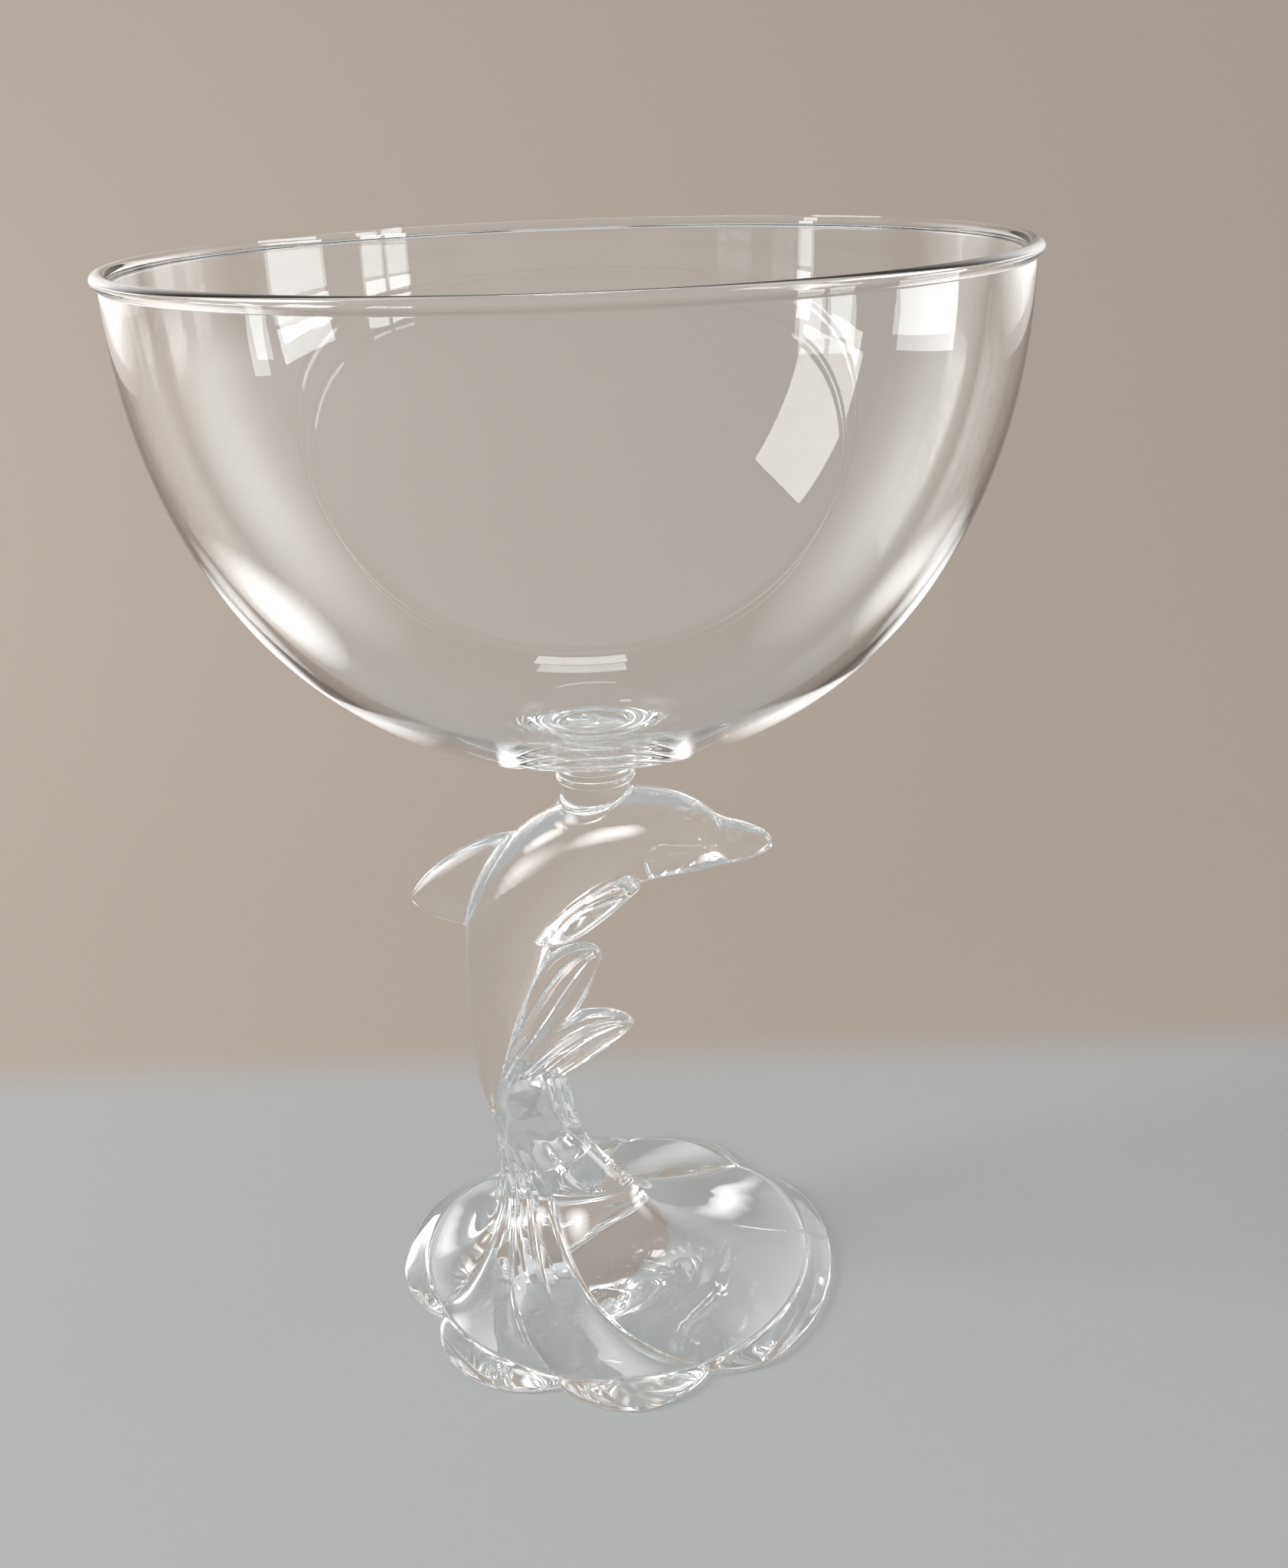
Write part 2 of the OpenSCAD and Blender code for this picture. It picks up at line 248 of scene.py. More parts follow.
# %% Make a card that glows
def glow(name, azimuth, elevation, distance, width, height, radiance):
    """A card that glows in its middle and fades out at its edges. Only glass sees it."""
    card = mesh_object(name, [(-1, -1, 0), (1, -1, 0), (1, 1, 0), (-1, 1, 0)], [(0, 1, 2, 3)])
    card.location = place_round(azimuth, elevation, distance)
    card.rotation_mode = "QUATERNION"
    card.rotation_quaternion = (card.location - LIT_POINT).to_track_quat("Z", "Y")
    card.scale = (width / 2, height / 2, 1)
    card.visible_camera = False
    card.visible_diffuse = False
    card.visible_shadow = False
    shine = bpy.data.materials.new(name)
    shine.use_nodes = True
    tree = shine.node_tree
    tree.nodes.clear()
    spot = tree.nodes.new("ShaderNodeTexCoord")
    fade = tree.nodes.new("ShaderNodeTexGradient")
    fade.gradient_type = "SPHERICAL"
    power = tree.nodes.new("ShaderNodeMath")
    power.operation = "MULTIPLY"
    power.inputs[1].default_value = radiance
    emit = tree.nodes.new("ShaderNodeEmission")
    clear = tree.nodes.new("ShaderNodeBsdfTransparent")
    both = tree.nodes.new("ShaderNodeAddShader")
    end = tree.nodes.new("ShaderNodeOutputMaterial")
    tree.links.new(spot.outputs["Object"], fade.inputs["Vector"])
    tree.links.new(fade.outputs["Fac"], power.inputs[0])
    tree.links.new(power.outputs["Value"], emit.inputs["Strength"])
    tree.links.new(emit.outputs["Emission"], both.inputs[0])
    tree.links.new(clear.outputs["BSDF"], both.inputs[1])
    tree.links.new(both.outputs["Shader"], end.inputs["Surface"])
    card.data.materials.append(shine)
    return card


# %% Hang the glows and the sheens
# A row gives a card's name, azimuth, elevation, distance, width, height and radiance.
# A side glow's row starts with the pieces that show it.
SIDE_GLOWS = [
    (upper_glass, "bowl_glow", 136, 16, 0.50, 0.48, 0.50, 3.0),
    (upper_glass, "edge_glow", 143, -24, 0.20, 0.08, 0.06, 3.0),
    (lower_glass, "stem_glow", 136, 4, 0.53, 0.51, 0.53, 2.4),
]
for pieces, name, azimuth, *others in SIDE_GLOWS:
    for side in (1, -1):
        seen_in(pieces, glow(name, side * azimuth, *others))
STEM_SHEENS = [
    ("sheen_left", -62, 4, 0.60, 0.50, 0.45, 13.0),
    ("sheen_window", -80, 30, 0.60, 0.30, 0.28, 18.0),
    ("sheen_nape", -138, -4, 0.55, 0.50, 0.24, 16.0),
    ("sheen_back", 180, 38, 0.70, 1.00, 0.60, 5.0),
    ("sheen_petal", 163, 8, 0.60, 0.22, 0.16, 9.0),
    ("sheen_left_petal", -157, 25, 0.60, 0.24, 0.20, 8.0),
    ("sheen_brow", -25, 20, 0.60, 0.45, 0.40, 20.0),
    ("sheen_right", 95, 15, 0.60, 0.40, 0.50, 9.0),
]
for sheen in STEM_SHEENS:
    card = glow(*sheen)
    card.visible_transmission = False
    seen_in(lower_glass, card)
print("sheens for the stem and the foot:", len(STEM_SHEENS))

# %% Light the room
ROOM_COLOUR = (0.98, 0.99, 1.0)
ROOM_STRENGTH = 0.70
BOUNCES = 32
world = bpy.data.worlds.new("pale_room")
world.use_nodes = True
room = world.node_tree.nodes["Background"]
room.inputs["Color"].default_value = (*ROOM_COLOUR, 1)
room.inputs["Strength"].default_value = ROOM_STRENGTH
scene.world = world

# A ray that runs round inside thick glass turns many times before it comes out
scene.cycles.max_bounces = BOUNCES
scene.cycles.glossy_bounces = BOUNCES
scene.cycles.transmission_bounces = BOUNCES
scene.cycles.diffuse_bounces = 4
scene.cycles.transparent_max_bounces = 16

# %% [markdown]
# ## Glass
# Two finishes share one effect. Fire polishing leaves glass smooth but never flat: long shallow ripples bend
# what is seen through it. The ripple is a node group, placed once in each glass with its own size and depth.
# Where two pieces are welded there is no surface inside the real glass, so those faces are left see-through.
# Lamps aren't followed through bent glass, which makes its shadow too dark, so shadow rays pass in part.

# %% Build the fire polish group
polish = bpy.data.node_groups.new("fire_polish", "ShaderNodeTree")
for name, kind in (("Ripple scale", "NodeSocketFloat"), ("Haze", "NodeSocketFloat")):
    polish.interface.new_socket(name=name, in_out="INPUT", socket_type=kind)
for name in ("Height", "Roughness"):
    polish.interface.new_socket(name=name, in_out="OUTPUT", socket_type="NodeSocketFloat")
p_in = polish.nodes.new("NodeGroupInput")
p_out = polish.nodes.new("NodeGroupOutput")
p_place = polish.nodes.new("ShaderNodeTexCoord")
p_wave = polish.nodes.new("ShaderNodeTexNoise")
p_wave.inputs["Detail"].default_value = 1
p_haze = polish.nodes.new("ShaderNodeMath")
p_haze.operation = "MULTIPLY"
polish.links.new(p_place.outputs["Object"], p_wave.inputs["Vector"])
polish.links.new(p_in.outputs["Ripple scale"], p_wave.inputs["Scale"])
polish.links.new(p_wave.outputs["Fac"], p_out.inputs["Height"])
polish.links.new(p_wave.outputs["Fac"], p_haze.inputs[0])
polish.links.new(p_in.outputs["Haze"], p_haze.inputs[1])
polish.links.new(p_haze.outputs["Value"], p_out.inputs["Roughness"])
print("group outputs:", [s.name for s in polish.interface.items_tree if s.in_out == "OUTPUT"])


# %% Make the glasses
SHADOW_PASS = 0.35
GLASS_IOR = 1.51


def glass(name, tint, ripple_scale, ripple_depth, haze):
    """Clear glass with shallow ripples and a light shadow."""
    material = bpy.data.materials.new(name)
    material.use_nodes = True
    tree = material.node_tree
    shader = tree.nodes["Principled BSDF"]
    shader.inputs["Base Color"].default_value = (*tint, 1)
    shader.inputs["Metallic"].default_value = 0
    shader.inputs["IOR"].default_value = GLASS_IOR
    shader.inputs["Transmission Weight"].default_value = 1
    ripple = tree.nodes.new("ShaderNodeGroup")
    ripple.node_tree = polish
    ripple.inputs["Ripple scale"].default_value = ripple_scale
    ripple.inputs["Haze"].default_value = haze
    bump = tree.nodes.new("ShaderNodeBump")
    bump.inputs["Strength"].default_value = 1
    bump.inputs["Distance"].default_value = ripple_depth
    tree.links.new(ripple.outputs["Height"], bump.inputs["Height"])
    tree.links.new(bump.outputs["Normal"], shader.inputs["Normal"])
    tree.links.new(ripple.outputs["Roughness"], shader.inputs["Roughness"])
    ray = tree.nodes.new("ShaderNodeLightPath")
    passed = tree.nodes.new("ShaderNodeBsdfTransparent")
    passed.inputs["Color"].default_value = (SHADOW_PASS, SHADOW_PASS, SHADOW_PASS, 1)
    either = tree.nodes.new("ShaderNodeMixShader")
    tree.links.new(ray.outputs["Is Shadow Ray"], either.inputs["Fac"])
    tree.links.new(shader.outputs["BSDF"], either.inputs[1])
    tree.links.new(passed.outputs["BSDF"], either.inputs[2])
    tree.links.new(either.outputs["Shader"], tree.nodes["Material Output"].inputs["Surface"])
    return material


BLOWN_TINT = (0.985, 0.995, 0.993)
MOULDED_TINT = (0.980, 0.994, 0.992)
blown = glass("blown_glass", BLOWN_TINT, ripple_scale=45, ripple_depth=0.02 * MM, haze=0.02)
moulded = glass("moulded_glass", MOULDED_TINT, ripple_scale=200, ripple_depth=0.05 * MM, haze=0.03)

weld = bpy.data.materials.new("weld_inside")
weld.use_nodes = True
weld.node_tree.nodes["Principled BSDF"].inputs["Alpha"].default_value = 0
print("glasses:", blown.name, moulded.name, weld.name)


# %% Finish a piece
LEVEL_WITHIN = 1e-6
SHARP_ANGLE = math.radians(50)


def finish_piece(piece, finish, node, weld_heights):
    """Shades a piece, marks the level faces that are welded, and puts it in its solid's place."""
    mesh = piece.data
    mesh.materials.clear()
    mesh.materials.append(finish)
    mesh.materials.append(weld)
    welded = 0
    for face in mesh.polygons:
        heights = [mesh.vertices[i].co.z for i in face.vertices]
        flat = max(heights) - min(heights) < LEVEL_WITHIN
        on_weld = flat and any(abs(heights[0] - z) < LEVEL_WITHIN for z in weld_heights)
        face.material_index = 1 if on_weld else 0
        welded += on_weld
    mesh.shade_smooth()
    mesh.set_sharp_from_angle(angle=SHARP_ANGLE)
    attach(piece, "root")
    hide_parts(node)
    print(piece.name, "faces:", len(mesh.polygons), "welded:", welded)


# %% [markdown]
# ## The bowl
# The real bowl is blown into a turning mould, so it is a solid of revolution with a fire-polished bead at
# the lip. A Screw modifier on a drawn profile would do. Here Geometry Nodes keep the rule itself: every
# stretch of the profile is an arc of a rounded ellipse, so one small group turns one arc, and the bowl is
# seven of them.

# %% Write formulas as nodes
class Formula:
    """A number in a node tree. Adding or multiplying two of them adds the Math node that does it."""

    def __init__(self, tree, socket):
        self.tree = tree
        self.socket = socket

    def math(self, operation, *others):
        node = self.tree.nodes.new("ShaderNodeMath")
        node.operation = operation
        for slot, value in zip(node.inputs, (self, *others)):
            if isinstance(value, Formula):
                self.tree.links.new(value.socket, slot)
            else:
                slot.default_value = value
        return Formula(self.tree, node.outputs[0])

    def __add__(self, other):
        return self.math("ADD", other)

    def __sub__(self, other):
        return self.math("SUBTRACT", other)

    def __mul__(self, other):
        return self.math("MULTIPLY", other)

    def __truediv__(self, other):
        return self.math("DIVIDE", other)

    def __pow__(self, other):
        return self.math("POWER", other)


def node_tree(name, inputs):
    """A geometry tree with named number inputs and one geometry output, and its inputs as formulas."""
    tree = bpy.data.node_groups.new(name, "GeometryNodeTree")
    tree.interface.new_socket(name="Geometry", in_out="OUTPUT", socket_type="NodeSocketGeometry")
    for label, kind in inputs:
        tree.interface.new_socket(name=label, in_out="INPUT", socket_type=kind)
    start = tree.nodes.new("NodeGroupInput")
    named = {label: Formula(tree, start.outputs[label]) for label, kind in inputs}
    return tree, named


# %% Build the group that turns one arc
NUMBER, COUNT = "NodeSocketFloat", "NodeSocketInt"
ARC_INPUTS = [
    ("Centre radius", NUMBER),
    ("Centre height", NUMBER),
    ("Reach", NUMBER),
    ("Rise", NUMBER),
    ("From", NUMBER),
    ("To", NUMBER),
    ("Roundness", NUMBER),
    ("Steps", COUNT),
    ("Sides", COUNT),
]
arc_tree, arc_in = node_tree("turned_arc", ARC_INPUTS)
grid = arc_tree.nodes.new("GeometryNodeMeshGrid")
grid.inputs["Size X"].default_value = 1
grid.inputs["Size Y"].default_value = 1
arc_tree.links.new((arc_in["Steps"] + 1).socket, grid.inputs["Vertices X"])
arc_tree.links.new((arc_in["Sides"] + 1).socket, grid.inputs["Vertices Y"])
spot = arc_tree.nodes.new("ShaderNodeSeparateXYZ")
where = arc_tree.nodes.new("GeometryNodeInputPosition")
arc_tree.links.new(where.outputs["Position"], spot.inputs["Vector"])
along = Formula(arc_tree, spot.outputs["X"]) + 0.5
angle = arc_in["From"] + (arc_in["To"] - arc_in["From"]) * along
around = (Formula(arc_tree, spot.outputs["Y"]) + 0.5) * (-2 * math.pi)


def rounded(value, power):
    """A sine or cosine raised to a power, with its sign kept."""
    return value.math("SIGN") * value.math("ABSOLUTE") ** power


radius = arc_in["Centre radius"] + arc_in["Reach"] * rounded(angle.math("COSINE"), arc_in["Roundness"])
height = arc_in["Centre height"] + arc_in["Rise"] * rounded(angle.math("SINE"), arc_in["Roundness"])
spun = arc_tree.nodes.new("ShaderNodeCombineXYZ")
arc_tree.links.new((radius * around.math("COSINE")).socket, spun.inputs["X"])
arc_tree.links.new((radius * around.math("SINE")).socket, spun.inputs["Y"])
arc_tree.links.new(height.socket, spun.inputs["Z"])
moved = arc_tree.nodes.new("GeometryNodeSetPosition")
arc_tree.links.new(grid.outputs["Mesh"], moved.inputs["Geometry"])
arc_tree.links.new(spun.outputs["Vector"], moved.inputs["Position"])
arc_end = arc_tree.nodes.new("NodeGroupOutput")
arc_tree.links.new(moved.outputs["Geometry"], arc_end.inputs["Geometry"])
print("turned_arc nodes:", len(arc_tree.nodes))


# %% Build the bowl's tree
HALF_TURN = math.pi
QUARTER_TURN = math.pi / 2


def add_arc(tree, values):
    """One turned arc in a tree. Values are formulas or plain numbers, by the group's input names."""
    arc = tree.nodes.new("GeometryNodeGroup")
    arc.node_tree = arc_tree
    for label, value in values.items():
        if isinstance(value, Formula):
            tree.links.new(value.socket, arc.inputs[label])
        else:
            arc.inputs[label].default_value = value
    return arc.outputs["Geometry"]


def close_tree(tree, arcs, finish):
    """Joins the arcs, closes their seams and poles, and ends the tree."""
    join = tree.nodes.new("GeometryNodeJoinGeometry")
    for arc in arcs:
        tree.links.new(arc, join.inputs["Geometry"])
    merge = tree.nodes.new("GeometryNodeMergeByDistance")
    merge.inputs["Distance"].default_value = 0.002 * MM
    realize = tree.nodes.new("GeometryNodeRealizeInstances")
    coat = tree.nodes.new("GeometryNodeSetMaterial")
    coat.inputs["Material"].default_value = finish
    end = tree.nodes.new("NodeGroupOutput")
    tree.links.new(join.outputs["Geometry"], merge.inputs["Geometry"])
    tree.links.new(merge.outputs["Geometry"], realize.inputs["Geometry"])
    tree.links.new(realize.outputs["Geometry"], coat.inputs["Geometry"])
    tree.links.new(coat.outputs["Geometry"], end.inputs["Geometry"])


BOWL_INPUTS = [
    ("Rim radius", NUMBER),
    ("Rim height", NUMBER),
    ("Lip width", NUMBER),
    ("Lip height", NUMBER),
    ("Lip fillet", NUMBER),
    ("Wall thickness", NUMBER),
    ("Floor height", NUMBER),
    ("Pad bottom", NUMBER),
    ("Pad radius", NUMBER),
    ("Pad height", NUMBER),
    ("Pad edge", NUMBER),
    ("Cove reach", NUMBER),
    ("Roundness", NUMBER),
    ("Sides", COUNT),
]
bowl_tree, b = node_tree("turned_bowl", BOWL_INPUTS)
lip_half_w = b["Lip width"] * 0.5
lip_half_h = b["Lip height"] * 0.5
inner_r = b["Rim radius"] - b["Lip width"]
outer_r = inner_r + b["Wall thickness"]
lip_centre = inner_r + lip_half_w
lip_level = b["Rim height"] - lip_half_h
fillet_r = outer_r + b["Lip fillet"]
fillet_rise = b["Lip fillet"] * lip_half_h / lip_half_w
touch = ((fillet_r - lip_centre) / (lip_half_w + b["Lip fillet"])).math("ARCCOSINE")
wall_top = lip_level - (lip_half_h + fillet_rise) * touch.math("SINE")
outer_depth = wall_top - (b["Pad bottom"] + b["Pad height"])
cove_r = b["Pad radius"] + b["Cove reach"]
one = b["Roundness"] * 0 + 1
wall_start = ((cove_r / outer_r) ** (one / b["Roundness"])).math("ARCCOSINE") * -1
wall_foot = wall_top - outer_depth * (wall_start.math("SINE") * -1) ** b["Roundness"]
# The cove over the pad has to end on the wall with the wall's own slope, so that no line shows there
steep = one / wall_start.math("TANGENT") * -1
wall_slope = outer_depth / outer_r * steep ** (one * 2 - b["Roundness"])
edge_top = b["Pad bottom"] + b["Pad edge"]
cove_rise = wall_foot - edge_top
cove_turn = (one / (cove_rise / (b["Cove reach"] * wall_slope) - 1)).math("ARCCOSINE")
cove_half = b["Cove reach"] / (one - cove_turn.math("COSINE"))

pad_disc = {"Centre height": b["Pad bottom"], "Reach": b["Pad radius"],
            "From": -QUARTER_TURN, "To": 0, "Steps": 8}
pad_edge = {"Centre radius": b["Pad radius"], "Centre height": b["Pad bottom"], "Rise": b["Pad edge"],
            "From": 0, "To": QUARTER_TURN, "Steps": 2}
cove = {"Centre radius": b["Pad radius"] + cove_half, "Centre height": edge_top, "Reach": cove_half * -1,
        "Rise": cove_rise / cove_turn.math("SINE"), "From": 0, "To": cove_turn, "Steps": 20}
outside = {"Centre height": wall_top, "Reach": outer_r, "Rise": outer_depth, "From": wall_start, "To": 0,
           "Roundness": b["Roundness"], "Steps": 60}
lip_cove = {"Centre radius": fillet_r, "Centre height": wall_top, "Reach": b["Lip fillet"] * -1,
            "Rise": fillet_rise, "From": 0, "To": touch, "Steps": 10}
lip = {"Centre radius": lip_centre, "Centre height": lip_level, "Reach": lip_half_w, "Rise": lip_half_h,
       "From": touch * -1, "To": HALF_TURN, "Steps": 24}
inside = {"Centre height": lip_level, "Reach": inner_r, "Rise": lip_level - b["Floor height"], "From": 0,
          "To": -QUARTER_TURN, "Roundness": b["Roundness"], "Steps": 70}
arcs = []
for stretch in (pad_disc, pad_edge, cove, outside, lip_cove, lip, inside):
    arcs.append(add_arc(bowl_tree, {"Roundness": 1, "Sides": b["Sides"], **stretch}))
close_tree(bowl_tree, arcs, blown)
print("turned_bowl nodes:", len(bowl_tree.nodes))


# %% Turn the bowl
def grown(name, tree, values):
    """Runs a geometry tree with its named inputs set, and returns the result as a plain mesh object."""
    seed = bpy.data.objects.new(name + "_seed", bpy.data.meshes.new(name + "_seed"))
    scene.collection.objects.link(seed)
    modifier = seed.modifiers.new("nodes", "NODES")
    modifier.node_group = tree
    for item in tree.interface.items_tree:
        if item.in_out == "INPUT":
            modifier[item.identifier] = values[item.name]
    evaluated = seed.evaluated_get(bpy.context.evaluated_depsgraph_get())
    mesh = bpy.data.meshes.new_from_object(evaluated)
    seed.modifiers.remove(modifier)
    bpy.data.objects.remove(seed)
    mesh.name = name
    piece = bpy.data.objects.new(name, mesh)
    scene.collection.objects.link(piece)
    return piece


collar_low, collar_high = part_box("weld_collar")
bowl_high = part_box("bowl")[1]
bowl_bottom = collar_high.z
bowl_sizes = {
    "Rim radius": bowl_high.x,
    "Rim height": bowl_high.z,
    "Lip width": 2 * MM,
    "Lip height": 1.6 * MM,
    "Lip fillet": 0.5 * MM,
    "Wall thickness": 1.2 * MM,
    "Floor height": bowl_bottom + 6.3 * MM,
    "Pad bottom": bowl_bottom,
    "Pad radius": 5.1 * MM,
    "Pad height": 4 * MM,
    "Pad edge": 0.5 * MM,
    "Cove reach": 7 * MM,
    "Roundness": 0.94,
    "Sides": 240,
}
bowl = grown("bowl_glass", bowl_tree, bowl_sizes)
finish_piece(bowl, blown, "bowl", [bowl_bottom])
upper_glass.objects.link(bowl)

# %% [markdown]
# ## The weld ring
# Where the hot bowl was pressed onto the stem, a soft ring of glass stands out. It is one more turned piece,
# and it takes its two radii from the pad above and the neck below, so no step shows.

# %% Turn the weld ring
RING_INPUTS = [
    ("Low radius", NUMBER),
    ("High radius", NUMBER),
    ("Bulge", NUMBER),
    ("Bottom", NUMBER),
    ("Top", NUMBER),
    ("Sides", COUNT),
]
ring_tree, w = node_tree("turned_ring", RING_INPUTS)
ring_middle = (w["Bottom"] + w["Top"]) * 0.5
ring_rise = (w["Top"] - w["Bottom"]) * 0.5
low_disc = {"Centre height": w["Bottom"], "Reach": w["Low radius"], "From": -QUARTER_TURN, "To": 0}
low_bulge = {"Centre radius": w["Low radius"], "Centre height": ring_middle, "Reach": w["Bulge"],
             "Rise": ring_rise, "From": -QUARTER_TURN, "To": 0}
high_bulge = {"Centre radius": w["High radius"], "Centre height": ring_middle,
              "Reach": w["Low radius"] + w["Bulge"] - w["High radius"], "Rise": ring_rise,
              "From": 0, "To": QUARTER_TURN}
high_disc = {"Centre height": w["Top"], "Reach": w["High radius"], "From": 0, "To": QUARTER_TURN}
arcs = []
for stretch in (low_disc, low_bulge, high_bulge, high_disc):
    arcs.append(add_arc(ring_tree, {"Roundness": 1, "Sides": w["Sides"], "Steps": 8, **stretch}))
close_tree(ring_tree, arcs, blown)
NECK_R = 4.7 * MM
ring_sizes = {
    "Low radius": NECK_R,
    "High radius": bowl_sizes["Pad radius"],
    "Bulge": collar_high.x - NECK_R,
    "Bottom": collar_low.z,
    "Top": collar_high.z,
    "Sides": 120,
}
weld_ring = grown("weld_ring", ring_tree, ring_sizes)
finish_piece(weld_ring, blown, "weld_collar", [collar_low.z, collar_high.z])
upper_glass.objects.link(weld_ring)

# %% [markdown]
# ## The wave foot
# The foot is pressed in a mould, so its lines are crisp: a sloped edge, a shoulder line, and creases that
# sweep from the notches up to the column of water. One rule in the direction round the foot gives every
# ring, and a skin over the rings keeps those lines. A sculpted mesh would round them off.
# The bead on the shoulder, the grooves in the creases and the mould's seam are finer than that rule. They
# are pressed in afterwards, by moving points along the surface's outward direction.

# %% Write the skin helpers
foot_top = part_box("dolphin_stem")[0].z
neck_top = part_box("dolphin_stem")[1].z


def smooth_rows(rows, steps):
    """A smooth curve through rows of numbers, with that many steps from row to row."""
    rows = np.array(rows, float)
    last = len(rows) - 1
    made = []
    for i in range(last):
        before = rows[max(i - 1, 0)]
        here = rows[i]
        there = rows[i + 1]
        after = rows[min(i + 2, last)]
        for k in range(steps):
            t = k / steps
            bend_2 = 2 * before - 5 * here + 4 * there - after
            bend_3 = 3 * here - before - 3 * there + after
            made.append(0.5 * (2 * here + (there - before) * t + bend_2 * t**2 + bend_3 * t**3))
    made.append(rows[last])
    return np.array(made)


def skin(rings):
    """Points and faces of a closed skin over rings, each turning left about the run."""
    rings = np.array(rings)
    n, m = rings.shape[:2]
    points = np.vstack([rings.reshape(-1, 3), rings[0].mean(0), rings[-1].mean(0)])
    faces = []
    for k in range(m):
        j = (k + 1) % m
        faces.append((j, k, n * m))
        faces.append(((n - 1) * m + k, (n - 1) * m + j, n * m + 1))
        for i in range(n - 1):
            faces.append((i * m + k, i * m + j, i * m + m + j, i * m + m + k))
    return points, faces


print("stem from", round(foot_top / MM, 2), "to", round(neck_top / MM, 2), "mm over the table")

# %% Write the foot's rule
FOOT_R = 32.6
EDGE_H = 0.9
EDGE_ROUND = 0.4
SHOULDER_H = 2.6
SHOULDER_W = 3.8
NOTCH_T = 3.8
VALLEY_T = 0.9
CREASE_T = 1.0
HOLLOW_R = 23.0
HOLLOW_T = 0.9
COLUMN_X = 7.5
COLUMN_L = 20.0
COLUMN_W = 10.4
FLUTE_T = 0.6
NOTCHES = np.array([54, 96, 144, 216, 264, 306])
SHORT_CREASES = np.array([75, 285])
NOTCH_SPAN = 24
CREASE_SPAN = 20
NOTCH_PINCH = 0.85
CREASE_FROM = [0, 54, 96, 144, 180]
CREASE_TO = [0, 99, 140, 159, 180]
CREASE_BOW = 0.65
CREASE_EASE = 0.75
COVE_POWER = 3.5
COVE_SOFT = 0.5
NEAR_CREASE = np.array([0.125, 0.25, 0.375, 0.625, 0.75, 0.875, 1.125, 1.25, 1.375])
creases = np.concatenate([NOTCHES, SHORT_CREASES])
near = creases[:, None] + np.concatenate([-NEAR_CREASE, NEAR_CREASE])
directions = np.sort(np.concatenate([np.arange(0, 360, 0.5), near.ravel()]))


def wrap(a):
    """A direction in degrees, from -180 to 180."""
    return a - 360 * np.round(a / 360)


def crease(a, creases, span):
    """How deep in a crease a direction is, from 0 to 1."""
    gap = np.min(np.abs(wrap(a[:, None] - creases[None, :])), axis=1)
    return np.maximum(0, 1 - gap / span) ** 2


notch = crease(directions, NOTCHES, NOTCH_SPAN)
long_furrow = crease(directions, NOTCHES, CREASE_SPAN)
short_furrow = crease(directions, SHORT_CREASES, CREASE_SPAN)
swept = np.sign(wrap(directions)) * np.interp(np.abs(wrap(directions)), CREASE_FROM, CREASE_TO)
inset = SHOULDER_W * (1 - NOTCH_PINCH * notch)
shoulder = SHOULDER_H - VALLEY_T * notch


def lobes(set_in, drift=0.0):
    """The foot's lobed outline, set in by a distance."""
    t = np.radians(directions + drift)
    r = FOOT_R - NOTCH_T * notch - set_in
    return np.stack([r * np.cos(t), r * np.sin(t)], axis=1)


def column(half_l, half_w, flute):
    """The fluted outline of the column of water."""
    groove = flute * np.maximum(long_furrow, short_furrow)
    t = np.radians(swept)
    return np.stack([(half_l - groove) * np.cos(t), (half_w - groove) * np.sin(t)], axis=1)


def ring_at(flat, height):
    """A ring of the foot, in metres, from its plan in millimetres and its height."""
    return np.column_stack([flat, np.broadcast_to(height, len(flat))]) * MM


print("directions round the foot:", len(directions))

# %% Skin the foot
UNDER_STEPS = 12
ROUND_STEPS = 4
COVE_STEPS = 64
EDGE_SLOPE = [[0, 0], [0.1, 0.16], [0.5, 0.54], [0.75, 0.77], [0.86, 0.87], [0.92, 0.925],
              [0.96, 0.96], [0.985, 0.985]]
LINE_END = 0.12
FOOT_H = foot_top / MM
t = np.radians(directions)
round_plan = np.stack([np.cos(t), np.sin(t)], axis=1)
under_rings = []
for share in np.linspace(0.02, 1, UNDER_STEPS):
    under_rings.append(ring_at(round_plan * HOLLOW_R * share, HOLLOW_T * (1 - share**2)))
for turn_up in np.radians(np.linspace(0, 90, ROUND_STEPS + 1)):
    edge_in = EDGE_ROUND * (1 - np.sin(turn_up))
    edge_up = EDGE_ROUND * (1 - np.cos(turn_up))
    under_rings.append(ring_at(lobes(edge_in), edge_up))
edge_rings = []
for share_in, share_up in EDGE_SLOPE:
    edge_rings.append(ring_at(lobes(inset * share_in), EDGE_H + (shoulder - EDGE_H) * share_up))
seat = column(COLUMN_L / 2, COLUMN_W / 2, FLUTE_T) - np.array([COLUMN_X, 0])
power = COVE_POWER - COVE_SOFT * np.cos(t)
cove_rings = []
shown_long = []
shown_short = []
for turn_in in np.radians(np.linspace(0, 90, COVE_STEPS + 1)):
    reach = np.maximum(0, np.cos(turn_in)) ** power
    rise = np.sin(turn_in) ** power
    drift = CREASE_BOW * wrap(swept - directions) * (1 - reach) ** CREASE_EASE
    plan = seat + (lobes(inset, drift) - seat) * reach[:, None]
    dip = CREASE_T * np.maximum(long_furrow, rise * short_furrow) * 4 * reach * (1 - reach)
    cove_rings.append(ring_at(plan, shoulder + (FOOT_H - shoulder) * rise - dip))
    run_out = np.minimum(1, (1 - rise) / LINE_END)
    shown_long.append(np.minimum(1, (1 - reach) / LINE_END) * run_out)
    shown_short.append(np.clip((0.5 - reach) / LINE_END, 0, 1) * run_out)
cove_rings[-1][:, 2] = foot_top
foot_rings = np.array(under_rings + edge_rings + cove_rings)
print("foot rings:", len(foot_rings))

